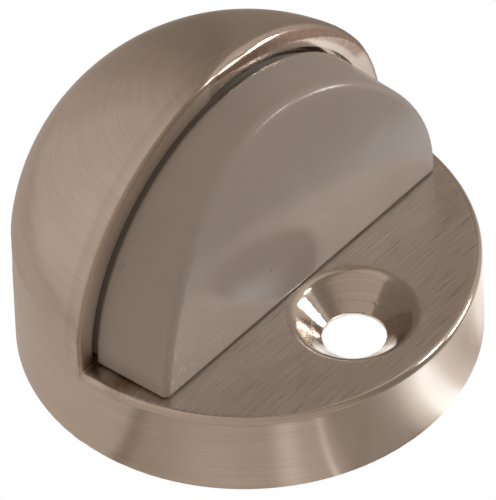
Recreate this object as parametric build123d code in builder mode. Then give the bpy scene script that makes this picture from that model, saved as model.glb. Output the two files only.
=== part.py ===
from build123d import *
import os

# High-dome floor door stop, in millimetres.
# Origin: centre of the base on the floor. +Z is up, and -Y points at the door it stops.

# Casting
base_radius = 23.8
dome_height = 35.0
shoulder_height = 14.2
shoulder_round = 6.0
ledge_height = 10.0
ledge_thickness = 2.6
rim_y = 2.0
wall = 2.2
web = 2.2
foot_round = 0.4
ledge_edge_round = 0.7
rim_edge_round = 0.8

# Recess in the rim, and the deeper pocket inside it for the bumper's plug
recess_radius = 21.8
recess_depth = 1.0
recess_mouth_round = 0.2
pocket_radius = 20.9
pocket_depth = 3.9

# Bumper: a block that stands in front of the recess, with a plug behind it
bumper_front_y = -7.25
bumper_rear_y = 1.5
bumper_front_radius = 21.2
bumper_rear_radius = 21.5
bumper_gap = 0.1
bumper_edge_round = 0.6
flat_height = 4.0
front_curve_radius = 50.0
plug_radius = 20.7
press_travel = 1.2
press_room = 0.3

# Countersunk hole for the floor screw
screw_hole_y = -13.95
screw_hole_radius = 3.3
countersink_radius = 6.3
countersink_depth = 3.0
countersink_lip_round = 0.6
screw_hole_land = 0.6
boss_radius = 7.4

# Hidden fixings: pan-head M4 screws from below into brass inserts moulded in the bumper
fixing_x = 11.0
insert_radius = 3.2
insert_groove_radius = 2.7
insert_length = 8.0
insert_groove_length = 2.0
insert_clearance = 0.03
screw_radius = 1.97
screw_bore_radius = 2.0
screw_reach = 6.5
screw_head_radius = 4.0
screw_head_height = 2.4
screw_head_round = 1.4
drive_length = 4.4
drive_width = 0.9
drive_depth = 1.3
washer_radius = 4.5
washer_hole_radius = 2.15
washer_thickness = 0.8
slot_radius = 2.3
rub_gap = 0.02

# Worked out from the above
shoulder_square = base_radius**2 + shoulder_height**2
centre_z = (dome_height**2 - shoulder_square) / (2 * (dome_height - shoulder_height))
dome_radius = dome_height - centre_z
ledge_under_z = ledge_height - ledge_thickness
boss_under_z = ledge_height - countersink_depth - screw_hole_land
recess_back_y = rim_y + recess_depth
pocket_back_y = rim_y + pocket_depth
web_back_y = pocket_back_y + web
plug_rear_y = pocket_back_y - press_travel - press_room
bumper_floor_z = ledge_height + bumper_gap
fixing_y = (bumper_front_y + plug_rear_y) / 2
washer_top_z = ledge_under_z - rub_gap
head_top_z = washer_top_z - washer_thickness
screw_tip_z = bumper_floor_z + screw_reach
clear = 4 * base_radius
bumper_axis = Axis((0, 0, centre_z), (0, 1, 0))
bumper_plane = Plane.XY.offset(centre_z)
across_plane = Plane.XZ.offset(-rim_y)


def fixing_axis(x):
    """The upright axis of the fixings on one side."""
    return Axis((x, fixing_y, 0), (0, 0, 1))


def dome_section(radius, sphere_radius):
    """Half section of an upright cylinder that turns into a dome over a rounded shoulder."""
    top_z = centre_z + sphere_radius
    break_z = centre_z + (sphere_radius**2 - radius**2) ** 0.5
    with BuildSketch(Plane.XZ) as section:
        with BuildLine():
            Polyline((0, top_z), (0, 0), (radius, 0), (radius, break_z))
            RadiusArc((radius, break_z), (0, top_z), -sphere_radius)
        make_face()
        fillet(section.vertices().sort_by_distance((radius, break_z))[0], radius=shoulder_round)
    return section.sketch


def insert_section(x, clearance):
    """Half section of a threaded insert's outside: two rings with a groove between them."""
    ring = insert_radius + clearance
    groove = insert_groove_radius + clearance
    low = (insert_length - insert_groove_length) / 2
    high = low + insert_groove_length
    with BuildSketch(Plane((x, fixing_y, bumper_floor_z), (1, 0, 0), (0, -1, 0))) as section:
        with BuildLine():
            Polyline((0, 0), (ring, 0), (ring, low), (groove, low), (groove, high), (ring, high))
            Polyline((ring, high), (ring, insert_length), (0, insert_length), (0, 0))
        make_face()
    return section.sketch


# The room that the recess and the pocket take out of the casting, above the ledge only
with BuildPart() as pocket:
    with BuildSketch(bumper_plane):
        with BuildLine():
            mouth = recess_radius + recess_mouth_round
            Polyline((mouth, rim_y), (mouth, rim_y - 1), (0, rim_y - 1), (0, pocket_back_y))
            Polyline((0, pocket_back_y), (pocket_radius, pocket_back_y), (pocket_radius, recess_back_y))
            Line((pocket_radius, recess_back_y), (recess_radius, recess_back_y))
            Line((recess_radius, recess_back_y), (recess_radius, rim_y + recess_mouth_round))
            RadiusArc((recess_radius, rim_y + recess_mouth_round), (mouth, rim_y), recess_mouth_round)
        make_face()
    revolve(axis=bumper_axis)
    split(bisect_by=Plane.XY.offset(ledge_height), keep=Keep.TOP)

# The hollow under the casting: it leaves the ledge plate, the screw boss and the web
with BuildPart() as hollow:
    revolve(dome_section(base_radius - wall, dome_radius - wall), axis=Axis.Z)
    with BuildSketch(Plane.XZ.offset(-web_back_y)):
        with Locations((0, ledge_under_z + clear / 2)):
            Rectangle(clear, clear)
    extrude(amount=clear, mode=Mode.SUBTRACT)
    with BuildSketch(Plane.XY.offset(boss_under_z)):
        with Locations((0, screw_hole_y)):
            Circle(boss_radius)
    extrude(amount=clear, mode=Mode.SUBTRACT)

# Casting: a dome whose front is cut down to a ledge
with BuildPart() as body:
    revolve(dome_section(base_radius, dome_radius), axis=Axis.Z)
    fillet(body.edges().group_by(Axis.Z)[0], radius=foot_round)
    with BuildSketch(across_plane):
        with Locations((0, ledge_height + clear / 2)):
            Rectangle(clear, clear)
    extrude(amount=clear, mode=Mode.SUBTRACT)
    rim_face = body.faces().filter_by(Axis.Y).sort_by(Axis.Y)[0]
    rim_edges = rim_face.edges().filter_by_position(Axis.Z, ledge_height + 0.1, dome_height)
    fillet(rim_edges, radius=rim_edge_round)
    ledge_face = body.faces().filter_by(Axis.Z).group_by(Axis.Z)[-1][0]
    fillet(ledge_face.edges().filter_by(GeomType.CIRCLE), radius=ledge_edge_round)
    add(pocket.part, mode=Mode.SUBTRACT)
    add(hollow.part, mode=Mode.SUBTRACT)

    # Screw hole and countersink with a rounded lip
    with BuildSketch(Plane((0, screw_hole_y, 0), (1, 0, 0), (0, -1, 0))):
        with BuildLine():
            Polyline((0, 0), (screw_hole_radius, 0), (screw_hole_radius, ledge_height - countersink_depth))
            Line((screw_hole_radius, ledge_height - countersink_depth), (countersink_radius, ledge_height))
            Polyline((countersink_radius, ledge_height), (0, ledge_height), (0, 0))
        make_face()
    revolve(axis=Axis((0, screw_hole_y, 0), (0, 0, 1)), mode=Mode.SUBTRACT)
    circles = body.edges().filter_by(GeomType.CIRCLE)
    lip = circles.sort_by_distance((0, screw_hole_y - countersink_radius, ledge_height))[0]
    fillet(lip, radius=countersink_lip_round)

    # Slots in the ledge plate for the bumper's screws, as long as the bumper's travel
    slot_y = fixing_y + press_travel / 2
    with BuildSketch(Plane.XY.offset(ledge_height)):
        with Locations((-fixing_x, slot_y), (fixing_x, slot_y)):
            SlotCenterToCenter(press_travel, 2 * slot_radius, rotation=90)
    extrude(amount=-ledge_thickness, mode=Mode.SUBTRACT)

# Bumper: a half disc, a little narrower towards the front, whose front leans back near its top
with BuildPart() as bumper:
    with BuildSketch(bumper_plane):
        with BuildLine():
            Polyline((0, plug_rear_y), (0, bumper_front_y), (bumper_front_radius, bumper_front_y))
            Line((bumper_front_radius, bumper_front_y), (bumper_rear_radius, bumper_rear_y))
            Polyline((bumper_rear_radius, bumper_rear_y), (plug_radius, bumper_rear_y))
            Polyline((plug_radius, bumper_rear_y), (plug_radius, plug_rear_y), (0, plug_rear_y))
        make_face()
    revolve(axis=bumper_axis)
    split(bisect_by=Plane.XY.offset(bumper_floor_z), keep=Keep.TOP)
    flat_top_z = ledge_height + flat_height
    with BuildSketch(Plane.YZ):
        with BuildLine():
            front_arc = CenterArc((bumper_front_y + front_curve_radius, flat_top_z), front_curve_radius, 180, -35)
            Line((bumper_front_y, 0), front_arc @ 0)
            Polyline(front_arc @ 1, (clear, (front_arc @ 1).Y), (clear, 0), (bumper_front_y, 0))
        make_face()
    extrude(amount=clear, both=True, mode=Mode.INTERSECT)
    front_faces = bumper.faces().filter_by(lambda face: face.normal_at().Y < -0.9)
    front_outline = front_faces.edges().filter_by(lambda edge: edge.center().X**2 + edge.length > 1)
    fillet(front_outline.filter_by_position(Axis.Z, bumper_floor_z + 0.01, dome_height), radius=bumper_edge_round)
    for x in (-fixing_x, fixing_x):
        revolve(insert_section(x, insert_clearance), axis=fixing_axis(x), mode=Mode.SUBTRACT)

part_files = {"body": body, "bumper": bumper}

# Fixings, one set at each side
for side, x in (("left", -fixing_x), ("right", fixing_x)):
    with BuildPart() as insert:
        revolve(insert_section(x, 0), axis=fixing_axis(x))
        with BuildSketch(Plane((x, fixing_y, bumper_floor_z))):
            Circle(screw_bore_radius)
        extrude(amount=insert_length, mode=Mode.SUBTRACT)

    with BuildPart() as washer:
        with BuildSketch(Plane((x, fixing_y, head_top_z))):
            Circle(washer_radius)
            Circle(washer_hole_radius, mode=Mode.SUBTRACT)
        extrude(amount=washer_thickness)

    with BuildPart() as screw:
        with BuildSketch(Plane((x, fixing_y, head_top_z))):
            Circle(screw_radius)
        extrude(amount=screw_tip_z - head_top_z)
        chamfer(screw.edges().group_by(Axis.Z)[-1], length=screw_radius / 4)
        with BuildSketch(Plane((x, fixing_y, head_top_z))):
            Circle(screw_head_radius)
        extrude(amount=-screw_head_height)
        fillet(screw.edges().group_by(Axis.Z)[0], radius=screw_head_round)
        with BuildSketch(Plane((x, fixing_y, head_top_z - screw_head_height))):
            Rectangle(drive_length, drive_width)
            Rectangle(drive_width, drive_length)
        extrude(amount=drive_depth, mode=Mode.SUBTRACT)

    part_files[f"bumper_insert_{side}"] = insert
    part_files[f"bumper_washer_{side}"] = washer
    part_files[f"bumper_screw_{side}"] = screw

os.makedirs("parts", exist_ok=True)
for part_name, built in part_files.items():
    built.part.label = part_name
    export_step(built.part, f"parts/{part_name}.step")
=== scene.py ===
"""A floor-mounted dome door stop: a satin nickel casting with a grey rubber bumper, on a white floor.

Each piece is a solid described by a distance function in millimetres, negative inside. It is
meshed with vertices set on its edges, and its shading normals come from the same function.
"""

import math

import bpy
import numpy as np
from mathutils import Matrix, Vector


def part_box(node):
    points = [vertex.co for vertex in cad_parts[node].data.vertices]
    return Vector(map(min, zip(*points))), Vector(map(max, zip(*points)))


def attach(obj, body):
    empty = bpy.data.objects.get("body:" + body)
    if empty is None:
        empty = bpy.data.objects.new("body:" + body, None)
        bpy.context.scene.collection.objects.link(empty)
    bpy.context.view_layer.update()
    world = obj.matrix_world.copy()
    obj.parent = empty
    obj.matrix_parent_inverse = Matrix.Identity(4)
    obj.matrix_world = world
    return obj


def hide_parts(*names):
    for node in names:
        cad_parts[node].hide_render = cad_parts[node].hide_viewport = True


MM = 0.001

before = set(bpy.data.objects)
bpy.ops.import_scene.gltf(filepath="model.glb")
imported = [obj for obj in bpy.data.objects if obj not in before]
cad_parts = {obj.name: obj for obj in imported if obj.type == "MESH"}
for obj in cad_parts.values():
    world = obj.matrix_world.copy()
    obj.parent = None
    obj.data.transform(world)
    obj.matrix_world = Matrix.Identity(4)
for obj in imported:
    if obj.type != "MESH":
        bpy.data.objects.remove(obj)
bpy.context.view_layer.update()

# ---------------------------------------------------------------- sizes, in millimetres

body_low, body_high = (np.array(corner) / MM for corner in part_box("body"))
bumper_low, bumper_high = (np.array(corner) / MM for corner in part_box("bumper"))

# Casting
BASE_RADIUS = body_high[0]
DOME_HEIGHT = 35.0
SHOULDER_HEIGHT = 14.2
SHOULDER_ROUND = 1.5
CENTRE_Z = (DOME_HEIGHT**2 - SHOULDER_HEIGHT**2 - BASE_RADIUS**2) / (2 * (DOME_HEIGHT - SHOULDER_HEIGHT))
DOME_RADIUS = DOME_HEIGHT - CENTRE_Z
LEDGE_Z = 10.0
LEDGE_UNDER_Z = 7.4
RIM_Y = 2.0
WALL = 2.2
RECESS_RADIUS = 21.8
RECESS_BACK_Y = 3.0
POCKET_RADIUS = 20.9
POCKET_BACK_Y = 5.9
RECESS_AXIS_Z = CENTRE_Z - 0.45
WEB_BACK_Y = 8.1
FOOT_ROUND = 0.4
LEDGE_ROUND = 0.8
RIM_ROUND_LOW = 0.55
RIM_ROUND_TOP = 2.0
RIM_ROUND_FROM_Z = 21.0
RIM_FILLET = 0.15
BEAD_FROM_X = -4.0
BEAD_GROWS_OVER = 7.0
CASTING_FILLET = 1.0
HOLLOW_ROUND = 0.3

# Countersunk screw hole
SCREW_Y = -13.95
HOLE_RADIUS = 3.3
CONE_BOTTOM_Z = 7.0
CONE_TOP_RADIUS = 6.3
LIP_ROUND = 0.45
BOSS_RADIUS = 7.4
BOSS_UNDER_Z = 6.4
BOSS_FILLET = 0.6

# Bumper
FRONT_Y = bumper_low[1]
BLOCK_REAR_Y = 1.7
PLUG_REAR_Y = bumper_high[1]
FRONT_RADIUS = 21.2
REAR_RADIUS = bumper_high[0]
PLUG_RADIUS = 20.7
BUMPER_FLOOR_Z = bumper_low[2]
FLAT_TOP_Z = 14.0
FRONT_CURVE_RADIUS = 50.0
BUMPER_ROUND = 0.7
BUMPER_REAR_ROUND = 0.3
BUMPER_FLOOR_ROUND = 0.35
PLUG_OVERLAP = 2.0
SOCKET_GAP = 0.03

# Fixings, the same on both sides
screw_low, screw_high = (np.array(corner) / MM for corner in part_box("bumper_screw_right"))
washer_low, washer_high = (np.array(corner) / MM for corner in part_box("bumper_washer_right"))
insert_low, insert_high = (np.array(corner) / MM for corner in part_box("bumper_insert_right"))
FIXING_X = (screw_low[0] + screw_high[0]) / 2
FIXING_Y = (screw_low[1] + screw_high[1]) / 2
PRESS_TRAVEL = 1.2
SLOT_RADIUS = 2.3
THREAD_RADIUS = 1.97
THREAD_DEPTH = 0.36
THREAD_PITCH = 0.7
# Threads are steep, so their field is scaled by this to stay close to a true distance
THREAD_SCALE = 0.7
TIP_CHAMFER = 0.5
HEAD_RADIUS = (screw_high[0] - screw_low[0]) / 2
HEAD_ROUND = 1.4
DRIVE_HALF_LENGTH = 2.2
DRIVE_HALF_WIDTH = 0.45
DRIVE_DEPTH = 1.3
DRIVE_TAPER = 0.18
WASHER_RADIUS = (washer_high[0] - washer_low[0]) / 2
WASHER_HOLE_RADIUS = 2.15
INSERT_RADIUS = (insert_high[0] - insert_low[0]) / 2
INSERT_BORE_GAP = 0.06
GROOVE_DEPTH = 0.5
GROOVE_HALF_WIDTH = 1.0
KNURLS = 22
KNURL_DEPTH = 0.072
KNURL_SLOPE = 0.8

# Distance between the places where each solid is sampled for its mesh
CASTING_PITCH = 0.38
BUMPER_PITCH = 0.35
FIXING_PITCH = 0.14
INSERT_PITCH = 0.12


# ---------------------------------------------------------------- distance functions


def soft_max(a, b, radius):
    """Where both a and b are solid, with the edge between them rounded."""
    corner = np.hypot(np.maximum(radius + a, 0), np.maximum(radius + b, 0))
    return np.minimum(np.maximum(a, b), -radius) + corner


def soft_min(a, b, radius):
    """Where a or b is solid, with a fillet in the corner between them."""
    return -soft_max(-a, -b, radius)


def smooth_step(value, low, high):
    share = np.clip((value - low) / (high - low), 0, 1)
    return share * share * (3 - 2 * share)


def dome(q, z, radius, dome_radius):
    """An upright cylinder that turns into a dome over a rounded shoulder. q is the distance from its axis."""
    turn_q = radius - SHOULDER_ROUND
    turn_rise = math.sqrt((dome_radius - SHOULDER_ROUND) ** 2 - turn_q**2)
    rise = z - CENTRE_Z
    top = np.hypot(q, rise) - dome_radius
    shoulder = np.hypot(q - turn_q, rise - turn_rise) - SHOULDER_ROUND
    return np.where(rise < turn_rise, q - radius, np.where(q * turn_rise < turn_q * rise, top, shoulder))


def rim_round(x, z):
    """The radius of the rim's outer edge, which is worn rounder at the top of the dome, on its right."""
    share = smooth_step(z, RIM_ROUND_FROM_Z, DOME_HEIGHT - 3)
    share = share * smooth_step(x, BEAD_FROM_X, BEAD_FROM_X + BEAD_GROWS_OVER)
    return RIM_ROUND_LOW + (RIM_ROUND_TOP - RIM_ROUND_LOW) * share


def from_recess_axis(x, z):
    """The distance from the axis of the recess, the pocket and the bumper, which runs along Y."""
    return np.hypot(x, z - RECESS_AXIS_Z)


def fixing_frame(x, y):
    """Places as seen from the upright axis of the nearer fixing."""
    return np.abs(x) - FIXING_X, y - FIXING_Y


def casting(x, y, z):
    """The casting: a dome whose front is cut down to a ledge, hollow from below."""
    q = np.hypot(x, y)
    outside = soft_max(dome(q, z, BASE_RADIUS, DOME_RADIUS), -z, FOOT_ROUND)
    behind_rim = soft_max(outside, RIM_Y - y, rim_round(x, z))
    under_ledge = soft_max(outside, z - LEDGE_Z, LEDGE_ROUND)
    solid = soft_min(behind_rim, under_ledge, RIM_FILLET)

    from_axis = from_recess_axis(x, z)
    above_ledge = LEDGE_Z - z
    recess = np.maximum(np.maximum(from_axis - RECESS_RADIUS, y - RECESS_BACK_Y), above_ledge)
    pocket = np.maximum(np.maximum(from_axis - POCKET_RADIUS, y - POCKET_BACK_Y), above_ledge)
    solid = np.maximum(solid, np.maximum(-recess, -pocket))

    from_screw = np.hypot(x, y - SCREW_Y)
    cone = np.maximum((from_screw - HOLE_RADIUS - (z - CONE_BOTTOM_Z)) / math.sqrt(2), z - LEDGE_Z - 1)
    solid = soft_max(solid, -np.minimum(from_screw - HOLE_RADIUS, cone), LIP_ROUND)

    plate = soft_max(y - WEB_BACK_Y, LEDGE_UNDER_Z - z, CASTING_FILLET)
    boss = soft_max(from_screw - BOSS_RADIUS, BOSS_UNDER_Z - z, HOLLOW_ROUND)
    room = soft_max(dome(q, z, BASE_RADIUS - WALL, DOME_RADIUS - WALL), -plate, CASTING_FILLET)
    room = soft_max(room, -boss, BOSS_FILLET)
    solid = soft_max(solid, -room, HOLLOW_ROUND)

    across, along = fixing_frame(x, y)
    slot = np.hypot(across, along - np.clip(along, 0, PRESS_TRAVEL)) - SLOT_RADIUS
    return np.maximum(solid, -np.maximum(slot, z - LEDGE_Z - 1))


def insert_ring(distance, height):
    """The outside of an insert: two rings with a groove between them."""
    middle = np.abs(height - (insert_low[2] + insert_high[2]) / 2)
    groove = soft_max(distance - INSERT_RADIUS + GROOVE_DEPTH, middle - GROOVE_HALF_WIDTH, 0.1)
    rings = np.maximum(distance - INSERT_RADIUS, GROOVE_HALF_WIDTH - middle)
    return np.minimum(rings, groove)


def rubber_front(y, z):
    """How far a place is in front of the bumper, whose front is upright low down and then leans back."""
    lean = np.hypot(y - FRONT_Y - FRONT_CURVE_RADIUS, z - FLAT_TOP_Z) - FRONT_CURVE_RADIUS
    return np.where(z < FLAT_TOP_Z, FRONT_Y - y, lean)


def rubber(x, y, z):
    """The bumper: a half disc with a plug behind it and room for the inserts."""
    from_axis = from_recess_axis(x, z)
    slope = (REAR_RADIUS - FRONT_RADIUS) / (BLOCK_REAR_Y - FRONT_Y)
    side = from_axis - REAR_RADIUS + slope * (BLOCK_REAR_Y - y)
    block = soft_max(side, y - BLOCK_REAR_Y, BUMPER_REAR_ROUND)
    block = soft_max(block, rubber_front(y, z), BUMPER_ROUND)
    plug = soft_max(from_axis - PLUG_RADIUS, y - PLUG_REAR_Y, BUMPER_REAR_ROUND)
    plug = np.maximum(plug, BLOCK_REAR_Y - PLUG_OVERLAP - y)
    solid = soft_max(np.minimum(block, plug), BUMPER_FLOOR_Z - z, BUMPER_FLOOR_ROUND)
    across, along = fixing_frame(x, y)
    socket = np.maximum(insert_ring(np.hypot(across, along), z), z - insert_high[2]) - SOCKET_GAP
    return np.maximum(solid, -socket)


def thread(x, y, z):
    """Depth of a screw thread's groove at a place around an upright axis, from 0 at its crest.

    It is flat for a short way at the crest and at the root.
    """
    turn = z / THREAD_PITCH - np.arctan2(y, x) / (2 * math.pi)
    return THREAD_DEPTH * np.clip(1.25 * (1 - np.abs(2 * (turn % 1) - 1)) - 0.1, 0, 1)


def screw(x, y, z):
    """A pan-head machine screw, head down, with a tapered cross recess."""
    distance = np.hypot(x, y)
    shank = (distance - THREAD_RADIUS + thread(x, y, z)) * THREAD_SCALE
    tip = (distance - THREAD_RADIUS + TIP_CHAMFER + (z - screw_high[2])) / math.sqrt(2)
    shank = np.maximum(np.maximum(shank, tip), np.maximum(z - screw_high[2], screw_low[2] + 1 - z))
    head = soft_max(distance - HEAD_RADIUS, screw_low[2] - z, HEAD_ROUND)
    head = soft_max(head, z - washer_low[2], 0.12)
    depth = z - screw_low[2]
    taper = DRIVE_TAPER * depth
    arms = []
    for long, short in ((x, y), (y, x)):
        length = np.abs(long) - DRIVE_HALF_LENGTH + 2 * taper
        arms.append(np.maximum(length, np.abs(short) - DRIVE_HALF_WIDTH + taper))
    recess = np.maximum(soft_min(*arms, 0.15), depth - DRIVE_DEPTH)
    return np.maximum(soft_min(shank, head, 0.1), -recess)


def washer(x, y, z):
    """A stamped flat washer."""
    distance = np.hypot(x, y)
    ring = soft_max(distance - WASHER_RADIUS, washer_low[2] - z, 0.25)
    ring = soft_max(ring, z - washer_high[2], 0.05)
    return soft_max(ring, WASHER_HOLE_RADIUS - distance, 0.08)


def insert(x, y, z):
    """A threaded insert with diamond knurling on its rings."""
    distance = np.hypot(x, y)
    around = np.arctan2(y, x) * KNURLS
    lean = (z - insert_low[2]) * KNURLS / INSERT_RADIUS * KNURL_SLOPE
    knurl = KNURL_DEPTH * (np.abs(np.sin((around + lean) / 2)) + np.abs(np.sin((around - lean) / 2)))
    solid = soft_max(insert_ring(distance + knurl, z), insert_low[2] - z, 0.15)
    solid = soft_max(solid, z - insert_high[2], 0.15)
    bore = (THREAD_RADIUS + INSERT_BORE_GAP - thread(x, y, z) - distance) * THREAD_SCALE
    return np.maximum(solid, bore)


# ---------------------------------------------------------------- meshing

# The grid starts this many pitches outside the box, so that no flat face lies on a grid plane
GRID_MARGIN = 1.37
# Times that a crossed grid edge is halved to find the surface on it
HALVINGS = 12
# How firmly a vertex keeps to the middle of its crossings where the surface is nearly flat
STEADINESS = 0.004
# Steps of each vertex towards the surface, each kept only if it shortens the distance to this share
SURFACE_STEPS = 4
GETS_NEARER = 0.9
# Faces that meet at a smaller angle are shaded as one
SMOOTH_DEGREES = 14


def gradient(field, points, reach=0.01):
    """The unit direction in which the field grows."""
    slope = np.empty_like(points)
    for axis in range(3):
        step = np.zeros(3)
        step[axis] = reach
        slope[:, axis] = field(*(points + step).T) - field(*(points - step).T)
    return slope / np.maximum(np.linalg.norm(slope, axis=1, keepdims=True), 1e-12)


def edge_crossings(field, low, pitch, inside, axis):
    """The grid edges along one axis that the surface crosses: where each starts, and the point."""
    ahead = [slice(None)] * 3
    ahead[axis] = slice(1, None)
    behind = [slice(None)] * 3
    behind[axis] = slice(None, -1)
    start = np.argwhere(inside[tuple(behind)] != inside[tuple(ahead)])
    entering = ~inside[tuple(start.T)]
    near = np.zeros(len(start))
    far = np.ones(len(start))
    unit = np.eye(3)[axis]
    for _ in range(HALVINGS):
        middle = (near + far) / 2
        value = field(*(low + (start + middle[:, None] * unit) * pitch).T)
        keep = (value >= 0) == entering
        near = np.where(keep, middle, near)
        far = np.where(keep, far, middle)
    return start, entering, low + (start + ((near + far) / 2)[:, None] * unit) * pitch


def mesh_solid(field, low, high, pitch):
    """Vertices, quads and corner normals of the solid: dual contouring, which keeps sharp edges sharp."""
    box = np.array([low, high])
    low = box[0] - GRID_MARGIN * pitch
    size = np.ceil((box[1] - low) / pitch + 2).astype(int)
    axes = [low[i] + pitch * np.arange(size[i]) for i in range(3)]
    inside = field(*np.meshgrid(*axes, indexing="ij")) < 0

    cells_of = []
    entering_of = []
    points_of = []
    for axis in range(3):
        start, entering, points = edge_crossings(field, low, pitch, inside, axis)
        u, v = np.eye(3, dtype=int)[(axis + 1) % 3], np.eye(3, dtype=int)[(axis + 2) % 3]
        around = np.stack([start, start - u, start - u - v, start - v], axis=1)
        cells_of.append(np.ravel_multi_index(tuple(np.moveaxis(around, 2, 0)), size))
        entering_of.append(entering)
        points_of.append(points)
    cells = np.concatenate(cells_of)
    entering = np.concatenate(entering_of)
    points = np.concatenate(points_of)
    normals = gradient(field, points)

    # One vertex to a cell, where the planes of the surface at its crossed edges meet
    used, quads = np.unique(cells, return_inverse=True)
    quads = quads.reshape(cells.shape)
    count = np.bincount(quads.ravel(), minlength=len(used))[:, None]
    mean = np.zeros((len(used), 3))
    matrix = np.zeros((len(used), 3, 3))
    for corner in range(4):
        np.add.at(mean, quads[:, corner], points)
        np.add.at(matrix, quads[:, corner], normals[:, :, None] * normals[:, None, :])
    mean /= count
    pull = np.zeros((len(used), 3))
    for corner in range(4):
        offset = points - mean[quads[:, corner]]
        np.add.at(pull, quads[:, corner], normals * np.sum(normals * offset, axis=1, keepdims=True))
    matrix += STEADINESS * count[:, :, None] * np.eye(3)
    vertices = mean + np.linalg.solve(matrix, pull[:, :, None])[:, :, 0]
    cell_low = low + np.stack(np.unravel_index(used, size), axis=1) * pitch
    vertices = np.clip(vertices, cell_low, cell_low + pitch)

    # Moved onto the surface where that brings them nearer, and never past the piece's box
    for _ in range(SURFACE_STEPS):
        distance = field(*vertices.T)[:, None]
        moved = vertices - np.clip(distance * gradient(field, vertices, 0.002), -pitch / 8, pitch / 8)
        nearer = np.abs(field(*moved.T))[:, None] < GETS_NEARER * np.abs(distance)
        vertices = np.where(nearer, moved, vertices)
    vertices = np.clip(vertices, *box)

    # Facing out, and shaded by the surface itself. Beside an edge, by the face's own side of it
    quads[~entering] = quads[~entering][:, ::-1]
    quads = quads[:, ::-1]
    corners = vertices[quads]
    middle = corners.mean(axis=1, keepdims=True)
    sided = gradient(field, (0.7 * corners + 0.3 * middle).reshape(-1, 3)).reshape(corners.shape)
    shared = gradient(field, vertices)[quads]
    agree = np.sum(sided * shared, axis=2, keepdims=True) > math.cos(math.radians(SMOOTH_DEGREES))
    return vertices, quads, np.where(agree, shared, sided)


def make_piece(name, built, material, body, node, attributes=None):
    """A Blender object from a mesh in millimetres. It stands for a CAD node and rides on its body.

    attributes gives numbers at each vertex for the material to read, by name.
    """
    vertices, quads, normals = built
    mesh = bpy.data.meshes.new(name)
    mesh.from_pydata(vertices * MM, [], quads.tolist())
    mesh.polygons.foreach_set("use_smooth", [True] * len(quads))
    mesh.normals_split_custom_set(normals.reshape(-1, 3).tolist())
    mesh.materials.append(material)
    mesh.validate()
    piece = bpy.data.objects.new(name, mesh)
    bpy.context.scene.collection.objects.link(piece)
    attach(piece, body)
    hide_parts(node)
    for attribute_name, values in (attributes or {}).items():
        attribute = mesh.attributes.new(attribute_name, "FLOAT", "POINT")
        attribute.data.foreach_set("value", np.asarray(values, np.float32))


# ---------------------------------------------------------------- materials


class Shader:
    """One material, or the world, under construction. A node's inputs are values or other nodes' outputs."""

    def __init__(self, name=None, world=None):
        self.material = world or bpy.data.materials.new(name)
        self.material.use_nodes = True
        self.tree = self.material.node_tree
        self.tree.nodes.clear()

    def add(self, kind, inputs=None, output=0, **settings):
        node = self.tree.nodes.new("ShaderNode" + kind)
        for name, value in settings.items():
            setattr(node, name, value)
        for name, value in (inputs or {}).items():
            if isinstance(value, bpy.types.NodeSocket):
                self.tree.links.new(value, node.inputs[name])
            else:
                node.inputs[name].default_value = value
        return list(node.outputs) if output is None else node.outputs[output]

    def attribute(self, name):
        return self.add("Attribute", output="Fac", attribute_name=name)

    def math(self, operation, a, b=0.0, clamp=False):
        return self.add("Math", {0: a, 1: b}, operation=operation, use_clamp=clamp)

    def vector(self, operation, a, b=(0, 0, 0)):
        return self.add("VectorMath", {0: a, 1: b}, operation=operation)

    def places(self):
        """Places on the piece, in millimetres."""
        return self.vector("MULTIPLY", self.add("TexCoord", output="Object"), (1 / MM,) * 3)

    def noise(self, places, stretch, detail=2, roughness=0.5):
        """Soft noise around 0.5. stretch is how many times a millimetre it changes along each axis."""
        vector = self.vector("MULTIPLY", places, stretch)
        return self.add("TexNoise", {"Vector": vector, "Scale": 1, "Detail": detail, "Roughness": roughness})

    def spread(self, value, low, high, to_low=0.0, to_high=1.0):
        """Moves a range of values to another range, and stops at its ends."""
        inputs = {"Value": value, "From Min": low, "From Max": high, "To Min": to_low, "To Max": to_high}
        return self.add("MapRange", inputs)

    def mix(self, share, a, b):
        return self.add("Mix", {0: share, 2: a, 3: b}, data_type="FLOAT")

    def parts(self, vector):
        return self.add("SeparateXYZ", {0: vector}, output=None)

    def length(self, vector):
        return self.add("VectorMath", {0: vector}, output="Value", operation="LENGTH")

    def grey(self, value):
        return self.add("CombineXYZ", {"X": value, "Y": value, "Z": value})

    def middle_of_edge(self, facing):
        """1 where a surface faces halfway between along an axis and square to it, and 0 at both ends."""
        size = self.math("ABSOLUTE", facing)
        level = self.math("SQRT", self.math("SUBTRACT", 1.0, self.math("MULTIPLY", size, size), clamp=True))
        return self.spread(self.math("MULTIPLY", size, level), 0.10, 0.32)

    def mix_colour(self, share, a, b, blend="MIX"):
        inputs = {0: share, 6: self.colour(a), 7: self.colour(b)}
        return self.add("Mix", inputs, output=2, data_type="RGBA", blend_type=blend)

    def mix_vector(self, share, a, b):
        return self.add("Mix", {0: share, 4: a, 5: b}, output=1, data_type="VECTOR")

    def colour(self, value):
        return value if isinstance(value, bpy.types.NodeSocket) else (*value, 1)

    def bump(self, height, depth, under=None):
        """A surface with that relief. depth is in millimetres."""
        inputs = {"Height": height, "Distance": depth * MM, "Strength": 1.0}
        if under is not None:
            inputs["Normal"] = under
        return self.add("Bump", inputs)

    def output(self, kind, surface):
        node = self.tree.nodes.new("ShaderNodeOutput" + kind)
        self.tree.links.new(surface, node.inputs["Surface"])

    def finish(self, inputs):
        self.output("Material", self.add("BsdfPrincipled", inputs))
        return self.material


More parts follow.
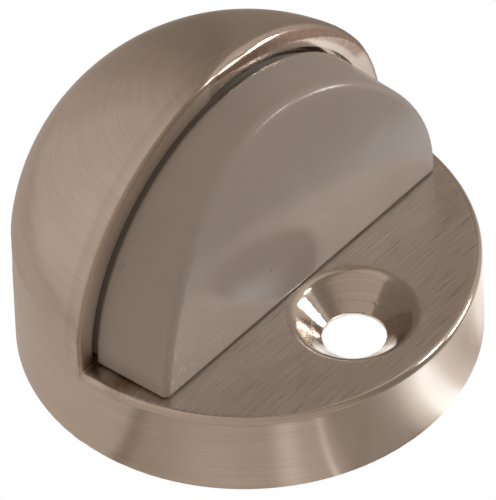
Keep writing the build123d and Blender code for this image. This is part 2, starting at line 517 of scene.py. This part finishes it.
def satin_nickel():
    """Brushed nickel plate: spun round the dome and the side, straight on the ledge, turned in the
    countersink, polished on its edges, and rough underneath, where it is as cast."""
    shader = Shader("satin_nickel")
    places = shader.places()
    x, y, z = shader.parts(places)
    normal = shader.add("NewGeometry", output="Normal")
    _, facing_y, facing_z = shader.parts(normal)
    cast = shader.attribute("cast")

    # Regions
    low = shader.spread(z, LEDGE_Z + 1.0, LEDGE_Z + 0.5)
    front = shader.spread(y, RIM_Y + 0.6, RIM_Y + 0.3)
    ledge = shader.math("MULTIPLY", shader.spread(facing_z, 0.90, 0.98), low)
    ledge_edge = shader.math("MULTIPLY", shader.middle_of_edge(facing_z), low)
    rim = shader.math("MULTIPLY", shader.spread(facing_y, -0.80, -0.95), front)
    above = shader.math("SUBTRACT", 1.0, low)
    near_rim = shader.spread(y, RIM_Y + RIM_ROUND_TOP + 0.4, RIM_Y + RIM_ROUND_TOP - 0.2)
    high = shader.spread(z, RIM_ROUND_FROM_Z - 0.5, RIM_ROUND_FROM_Z + 1.0)
    high = shader.math("MULTIPLY", high, shader.spread(x, BEAD_FROM_X + 1, BEAD_FROM_X + 3))
    bead = shader.math("MULTIPLY", shader.spread(facing_y, -0.11, -0.16), near_rim)
    bead = shader.math("MULTIPLY", bead, high)
    rim = shader.math("MULTIPLY", rim, shader.math("SUBTRACT", 1.0, bead))
    rim_edge = shader.math("MULTIPLY", shader.middle_of_edge(facing_y), near_rim)
    rim_edge = shader.math("MULTIPLY", rim_edge, shader.math("SUBTRACT", above, high, clamp=True))
    from_screw = shader.vector("SUBTRACT", places, (0, SCREW_Y, 0))
    ring_distance = shader.length(shader.vector("MULTIPLY", from_screw, (1, 1, 0)))
    turned = shader.spread(ring_distance, CONE_TOP_RADIUS + 0.55, CONE_TOP_RADIUS + 0.25)
    turned = shader.math("MULTIPLY", turned, low)
    side = shader.spread(z, SHOULDER_HEIGHT + 0.2, SHOULDER_HEIGHT - 0.5)
    from_axis = shader.vector("SUBTRACT", places, (0, 0, RECESS_AXIS_Z))
    from_axis = shader.length(shader.vector("MULTIPLY", from_axis, (1, 0, 1)))
    recess = shader.spread(from_axis, RECESS_RADIUS + 0.12, RECESS_RADIUS + 0.02)
    recess = shader.math("MULTIPLY", recess, above)
    recess = shader.math("MULTIPLY", recess, shader.spread(y, RIM_Y - 0.1, RIM_Y))
    recess = shader.math("MULTIPLY", recess, shader.spread(y, POCKET_BACK_Y + 0.3, POCKET_BACK_Y + 0.2))
    recess = shader.math("MULTIPLY", recess, shader.spread(z, DOME_HEIGHT - 5.0, SHOULDER_HEIGHT, 0.1, 1.0))
    rim_foot = shader.vector("SUBTRACT", shader.vector("ABSOLUTE", places), (RECESS_RADIUS, RIM_Y, LEDGE_Z))

    # Lines of the brushing, each along the way the tool went
    from_centre = shader.vector("SUBTRACT", places, (0, 0, CENTRE_Z))
    out = shader.length(shader.vector("MULTIPLY", places, (1, 1, 0)))
    down = shader.math("MULTIPLY", shader.math("ARCTAN2", out, shader.parts(from_centre)[2]), DOME_RADIUS)
    spun = shader.noise(shader.add("CombineXYZ", {"X": x, "Y": y, "Z": down}), (0.10, 0.10, 5.0), 3, 0.7)
    straight = shader.noise(places, (0.16, 6.0, 0.0), 4, 0.75)
    rings = shader.noise(shader.add("CombineXYZ", {"X": ring_distance}), (4.0, 0, 0), 2)
    lines = shader.mix(ledge, spun, straight)
    lines = shader.mix(turned, lines, rings)
    scratch_lines = shader.noise(places, (0.35, 7.0, 0.0), 1)
    scratches = shader.math("MULTIPLY", shader.spread(scratch_lines, 0.70, 0.80), ledge)
    grain = shader.noise(places, (2.2, 2.2, 2.2), 4, 0.6)

    polish = shader.math("MAXIMUM", shader.math("MAXIMUM", ledge_edge, bead), turned)
    plain = shader.math("SUBTRACT", 1.0, shader.math("MAXIMUM", shader.math("MAXIMUM", polish, cast), rim))
    strength = shader.mix(ledge, shader.mix(side, 0.45, 0.25), 1.3)
    strength = shader.mix(plain, 0.10, strength)
    brushed = shader.bump(shader.math("MULTIPLY", lines, strength), 0.007)
    relief = shader.bump(shader.math("MULTIPLY", grain, cast), 0.12, under=brushed)

    # The way the lines run. Reflections spread across it
    round_y = shader.vector("CROSS_PRODUCT", (0, 1, 0), from_centre)
    along = shader.vector("CROSS_PRODUCT", (0, 0, 1), places)
    along = shader.mix_vector(rim, along, round_y)
    along = shader.mix_vector(ledge, along, (1, 0, 0))
    along = shader.mix_vector(turned, along, shader.vector("CROSS_PRODUCT", (0, 0, 1), from_screw))
    along = shader.vector("NORMALIZE", along)

    # Colour: faint tarnish, paler scratches, painted light on the paler rim face, brown painted shade in the
    # corners at the rim's foot, down the recess and along the rim's outer edge, reddish brown where the bead
    # is worn, which also stands as a painted dark reflection on it, and dull plate where it is as cast
    tarnish = shader.noise(places, (0.09, 0.12, 0.1), 3)
    plate = shader.mix_colour(shader.spread(tarnish, 0.35, 0.7), (0.66, 0.60, 0.54), (0.62, 0.55, 0.485))
    shade = shader.spread(lines, 0.3, 0.7, 0.93, 1.06)
    shade = shader.mix(ledge, shade, shader.spread(lines, 0.3, 0.7, 0.75, 1.2))
    plate = shader.mix_colour(1.0, plate, shader.grey(shade), blend="MULTIPLY")
    plate = shader.mix_colour(shader.math("MULTIPLY", scratches, 0.5), plate, (0.86, 0.80, 0.74))
    # Painted light: the flat rim face is painted paler, for the light it would catch
    plate = shader.mix_colour(shader.math("MULTIPLY", rim, 0.6), plate, (0.86, 0.80, 0.73))
    # Painted shade, in brown: in the corners where the rim meets the ledge, down the recess wall, and in a
    # thin dark line along the rim's rounded outer edge, where it is not a bead
    painted_shade = shader.math("ADD", shader.length(rim_foot), shader.math("MULTIPLY", grain, 1.6))
    painted_shade = shader.spread(painted_shade, 3.0, 1.2, 0.0, 0.75)
    painted_shade = shader.math("MAXIMUM", painted_shade, shader.math("MULTIPLY", recess, 0.6))
    painted_shade = shader.math("MAXIMUM", painted_shade, shader.math("MULTIPLY", rim_edge, 0.45))
    plate = shader.mix_colour(painted_shade, plate, (0.26, 0.165, 0.09))
    # Reddish brown on the bead's forward face: worn plating, and also a painted dark reflection of what
    # stands in front of it
    worn_and_painted_reflection = shader.math("MULTIPLY", bead, shader.spread(facing_y, -0.45, -0.75))
    worn_and_painted_reflection = shader.math("MULTIPLY", worn_and_painted_reflection, shader.spread(from_axis, RECESS_RADIUS + 0.55, RECESS_RADIUS + 0.95))
    worn_and_painted_reflection = shader.math("MULTIPLY", worn_and_painted_reflection, shader.spread(grain, 0.25, 0.6, 0.55, 0.9))
    plate = shader.mix_colour(worn_and_painted_reflection, plate, (0.36, 0.245, 0.195))
    plate = shader.mix_colour(cast, plate, (0.42, 0.39, 0.355))

    roughness = shader.mix(side, shader.spread(lines, 0.25, 0.75, 0.20, 0.26), 0.18)
    roughness = shader.mix(ledge, roughness, shader.spread(lines, 0.3, 0.7, 0.26, 0.36))
    roughness = shader.mix(rim, roughness, 0.38)
    roughness = shader.mix(polish, roughness, 0.14)
    roughness = shader.mix(cast, roughness, 0.55)
    return shader.finish(
        {
            "Base Color": plate,
            "Metallic": 1.0,
            "Roughness": roughness,
            "Anisotropic": 0.7,
            "Anisotropic Rotation": 0.25,
            "Tangent": along,
            "Normal": relief,
        }
    )


def grey_rubber():
    """Warm grey moulded rubber with a soft shine, fine specks and scuffs on its front edge."""
    shader = Shader("grey_rubber")
    places = shader.places()
    cloud = shader.noise(places, (0.12, 0.12, 0.12), detail=3)
    grain = shader.noise(places, (7.0, 7.0, 7.0), detail=3, roughness=0.6)
    ripple = shader.noise(places, (0.22, 0.22, 0.16), detail=1)
    colour = shader.mix_colour(shader.spread(cloud, 0.3, 0.7), (0.412, 0.372, 0.342), (0.386, 0.348, 0.320))
    fleck = shader.spread(shader.noise(places, (2.4, 2.4, 2.4), detail=1), 0.80, 0.84)
    colour = shader.mix_colour(fleck, colour, (0.12, 0.08, 0.055))
    x, _, z = shader.parts(places)
    corner = shader.math("MULTIPLY", shader.spread(x, -8.0, -15.0), shader.spread(z, 19.0, 12.0))
    corner = shader.math("MULTIPLY", corner, shader.attribute("front"))
    scuff = shader.noise(places, (2.6, 2.6, 0.9), detail=4, roughness=0.75)
    scuff = shader.math("MULTIPLY", shader.spread(scuff, 0.60, 0.68), corner)
    colour = shader.mix_colour(shader.math("MULTIPLY", scuff, 0.7), colour, (0.80, 0.78, 0.75))
    edge_wear = shader.math("MULTIPLY", shader.attribute("edge"), shader.spread(grain, 0.35, 0.6))
    colour = shader.mix_colour(shader.math("MULTIPLY", edge_wear, 0.35), colour, (0.44, 0.39, 0.355))
    roughness = shader.spread(grain, 0.3, 0.7, 0.17, 0.23)
    surface = shader.bump(ripple, 0.06)
    surface = shader.bump(grain, 0.008, under=surface)
    return shader.finish(
        {
            "Base Color": colour,
            "Roughness": roughness,
            "Specular IOR Level": 0.5,
            "Normal": surface,
        }
    )


def plain_metal(name, colour, dull_colour, roughness):
    """Small turned or plated metal parts, with a mottled finish."""
    shader = Shader(name)
    places = shader.places()
    mottle = shader.noise(places, (0.9, 0.9, 0.9), detail=4, roughness=0.6)
    fine = shader.noise(places, (4.0, 4.0, 14.0), detail=2)
    plate = shader.mix_colour(shader.spread(mottle, 0.35, 0.65), colour, dull_colour)
    return shader.finish(
        {
            "Base Color": plate,
            "Metallic": 1.0,
            "Roughness": shader.spread(mottle, 0.3, 0.7, roughness - 0.06, roughness + 0.08),
            "Normal": shader.bump(fine, 0.01),
        }
    )


# ---------------------------------------------------------------- pieces

nickel = satin_nickel()
rubber_grey = grey_rubber()
brass = plain_metal("insert_brass", (0.80, 0.60, 0.30), (0.62, 0.43, 0.19), 0.30)
steel = plain_metal("plated_steel", (0.66, 0.68, 0.70), (0.52, 0.54, 0.56), 0.28)


def edge_share(a, b, radius):
    """How far a place is into the rounded edge between a and b: 0 at its borders, 1 along its middle."""
    return smooth_step(np.minimum(a, b) + radius, 0, 0.5 * radius)


def casting_attributes(vertices):
    """Where the casting is left as cast, in its hollow."""
    x, y, z = vertices.T
    inner = dome(np.hypot(x, y), z, BASE_RADIUS - WALL, DOME_RADIUS - WALL)
    under = smooth_step(z, LEDGE_UNDER_Z + 0.6, LEDGE_UNDER_Z + 0.3)
    under = np.maximum(smooth_step(y, WEB_BACK_Y - 1.2, WEB_BACK_Y - 0.8), under)
    in_hole = smooth_step(np.hypot(x, y - SCREW_Y), HOLE_RADIUS + 0.9, HOLE_RADIUS + 0.8)
    return {"cast": smooth_step(inner, 0.25, 0.05) * under * (1 - in_hole)}


def rubber_attributes(vertices):
    """The rounded front edge of the bumper, and its front."""
    x, y, z = vertices.T
    side = from_recess_axis(x, z) - FRONT_RADIUS
    front = rubber_front(y, z)
    return {"edge": edge_share(front, side, 1.2), "front": smooth_step(front, -0.9, -0.2)}


casting_built = mesh_solid(casting, body_low, body_high, CASTING_PITCH)
cast_where = casting_attributes(casting_built[0])
make_piece("casting", casting_built, nickel, "base", "body", cast_where)

rubber_built = mesh_solid(rubber, bumper_low, bumper_high, BUMPER_PITCH)
edge_where = rubber_attributes(rubber_built[0])
make_piece("rubber_bumper", rubber_built, rubber_grey, "bumper", "bumper", edge_where)

FIXINGS = {
    "screw": (screw, screw_low, screw_high, FIXING_PITCH, steel, "plated_steel"),
    "washer": (washer, washer_low, washer_high, FIXING_PITCH, steel, "plated_steel"),
    "insert": (insert, insert_low, insert_high, INSERT_PITCH, brass, "insert_brass"),
}
centre = np.array([FIXING_X, FIXING_Y, 0])
for kind, (field, low, high, pitch, material, slot) in FIXINGS.items():
    vertices, quads, normals = mesh_solid(field, low - centre, high - centre, pitch)
    for side, x in (("left", -FIXING_X), ("right", FIXING_X)):
        built = (vertices + [x, FIXING_Y, 0], quads, normals)
        make_piece(f"{kind}_{side}", built, material, "bumper", f"bumper_{kind}_{side}")


# ---------------------------------------------------------------- floor, light and camera


def direction(azimuth, elevation):
    """A direction from the stop. Azimuth 0 is in front of it, towards -Y, and 90 is to its right."""
    a, e = math.radians(azimuth), math.radians(elevation)
    return Vector((math.sin(a) * math.cos(e), -math.cos(a) * math.cos(e), math.sin(e)))


# How bright the room and the card under the stop are as the metal sees them: (azimuth in degrees,
# brightness). The dimmer they are, the warmer. From WHITE_FROM up they are neutral
ROOM = [
    (-180, 0.48), (-140, 0.54), (-100, 0.44), (-45, 0.42), (-20, 0.38), (15, 0.22), (42, 0.24), (58, 0.55),
    (80, 0.50), (102, 0.25), (131, 0.25), (137, 0.20), (145, 0.22), (152, 0.29), (168, 0.40), (180, 0.48),
]
# The card glows, though it is no lamp. Its brightest stops, near 10 and 60 degrees, are painted pools of
# light, and the narrow stop near -28 degrees is a painted line of light
CARD = [
    (-180, 0.40), (-95, 0.46), (-89, 0.44), (-85, 0.27), (-80, 0.36), (-60, 0.45), (-45, 0.42), (-39, 0.62),
    (-33, 0.46), (-29.2, 0.42), (-28.4, 0.85), (-27.6, 0.38), (-22, 0.25), (-4, 0.22), (2, 0.6), (8, 1.6),
    (12, 1.6), (18, 0.8), (28, 0.5), (42, 1.0), (60, 1.3), (78, 0.5), (180, 0.40),
]
WARM_TINT = (1.27, 1.0, 0.80)
WHITE_FROM = 1.4
WHITE = (1.0, 1.0, 1.0)
LAMP_COLOUR = (1.0, 0.98, 0.96)
LAMP_DISTANCE = 0.45
LAMP_AIM = Vector((0, 0, 0.012))

# The floor and the card on it, in metres. The floor is a little lower than the base stands
FLOOR_HALF = 3.0
FLOOR_Z = -0.05 * MM
CARD_CENTRE = (0.005, 0.012, 0)
CARD_RADIUS = 0.055
CARD_EDGE = 0.004

# The camera: angles in degrees, its distance in metres from the point it aims at, and how far right
# and up of the origin that point is
CAMERA_AZIMUTH = -48.33
CAMERA_ELEVATION = 44.80
CAMERA_ROLL = -2.20
CAMERA_DISTANCE = 1.4225
CAMERA_AIM = (-0.000236, 0.00741)
CAMERA_LENS = 1008


def brightness_by_azimuth(shader, place, stops):
    """A warm colour that depends on the direction from the stop."""
    x, y, _ = shader.parts(place)
    azimuth = shader.math("ARCTAN2", x, shader.math("MULTIPLY", y, -1.0))
    ramp = shader.tree.nodes.new("ShaderNodeValToRGB")
    shader.tree.links.new(shader.spread(azimuth, -math.pi, math.pi), ramp.inputs["Fac"])
    ramp.color_ramp.interpolation = "EASE"
    elements = ramp.color_ramp.elements
    while len(elements) < len(stops):
        elements.new(0.5)
    for element, (angle, brightness) in zip(elements, stops):
        warmth = max(0.0, 1.0 - brightness / WHITE_FROM)
        element.position = (angle + 180) / 360
        element.color = (*(brightness * (1 + warmth * (tint - 1)) for tint in WARM_TINT), 1)
    return ramp.outputs["Color"]


def white_to_camera(shader, seen):
    """White for the camera, and the given colour for what reflects it."""
    return shader.mix_colour(shader.add("LightPath", output="Is Camera Ray"), seen, WHITE)


def make_floor():
    """A white floor. The metal sees it glow as the softly lit card it would stand on, with painted pools of
    light and a painted shadow at the card's edge.
    """
    mesh = bpy.data.meshes.new("floor")
    around = ((-1, -1), (1, -1), (1, 1), (-1, 1))
    corners = [(FLOOR_HALF * x, FLOOR_HALF * y, FLOOR_Z) for x, y in around]
    mesh.from_pydata(corners, [], [(0, 1, 2, 3)])
    floor = bpy.data.objects.new("floor", mesh)
    bpy.context.scene.collection.objects.link(floor)
    shader = Shader("floor_white")
    place = shader.add("TexCoord", output="Object")
    from_card = shader.length(shader.vector("SUBTRACT", place, CARD_CENTRE))
    beyond = shader.spread(from_card, CARD_RADIUS, CARD_RADIUS + CARD_EDGE)
    from_edge = shader.math("ABSOLUTE", shader.math("SUBTRACT", from_card, CARD_RADIUS))
    # A painted shadow along the card's edge, darkest on the edge itself
    card_edge_painted_shadow = shader.spread(from_edge, 0.0, 1.5 * CARD_EDGE, 0.55, 1.0)
    card = brightness_by_azimuth(shader, place, CARD)
    table = brightness_by_azimuth(shader, place, ROOM)
    seen = shader.vector("MULTIPLY", shader.mix_colour(beyond, card, table), shader.grey(card_edge_painted_shadow))
    emission = shader.add("Emission", {"Color": white_to_camera(shader, seen)})
    shader.output("Material", emission)
    mesh.materials.append(shader.material)


def make_world():
    """A dim warm room with paler walls."""
    world = bpy.data.worlds.new("room")
    bpy.context.scene.world = world
    shader = Shader(world=world)
    place = shader.add("TexCoord", output="Generated")
    seen = brightness_by_azimuth(shader, place, ROOM)
    background = shader.add("Background", {"Color": white_to_camera(shader, seen)})
    shader.output("World", background)


def make_light(name, azimuth, elevation, width, height, power):
    """A rectangular soft light that faces the stop. The camera doesn't see it."""
    data = bpy.data.lights.new(name, "AREA")
    data.shape = "RECTANGLE"
    data.size = width
    data.size_y = height
    data.energy = power
    data.color = LAMP_COLOUR
    light = bpy.data.objects.new(name, data)
    toward = direction(azimuth, elevation)
    light.location = LAMP_AIM + toward * LAMP_DISTANCE
    light.rotation_mode = "QUATERNION"
    light.rotation_quaternion = toward.to_track_quat("Z", "Y")
    light.visible_camera = False
    bpy.context.scene.collection.objects.link(light)


def make_camera():
    """A long lens from the front left, turned a little clockwise."""
    back = direction(CAMERA_AZIMUTH, CAMERA_ELEVATION)
    azimuth, roll = math.radians(CAMERA_AZIMUTH), math.radians(CAMERA_ROLL)
    right = Vector((math.cos(azimuth), math.sin(azimuth), 0))
    up = back.cross(right)
    across = right * math.cos(roll) + up * math.sin(roll)
    over = up * math.cos(roll) - right * math.sin(roll)
    data = bpy.data.cameras.new("camera")
    data.sensor_width = 36
    data.lens = CAMERA_LENS
    data.clip_start = 0.1
    data.clip_end = 20
    camera = bpy.data.objects.new("camera", data)
    aim = across * CAMERA_AIM[0] + over * CAMERA_AIM[1]
    turn = Matrix((across, over, back)).transposed().to_4x4()
    camera.matrix_world = Matrix.Translation(aim + back * CAMERA_DISTANCE) @ turn
    bpy.context.scene.collection.objects.link(camera)
    bpy.context.scene.camera = camera


make_floor()
make_world()
make_light("key", azimuth=56, elevation=18, width=0.13, height=0.05, power=0.40)
make_light("front", azimuth=44, elevation=37, width=0.07, height=0.07, power=0.20)
make_camera()
bpy.context.scene.view_settings.view_transform = "Standard"
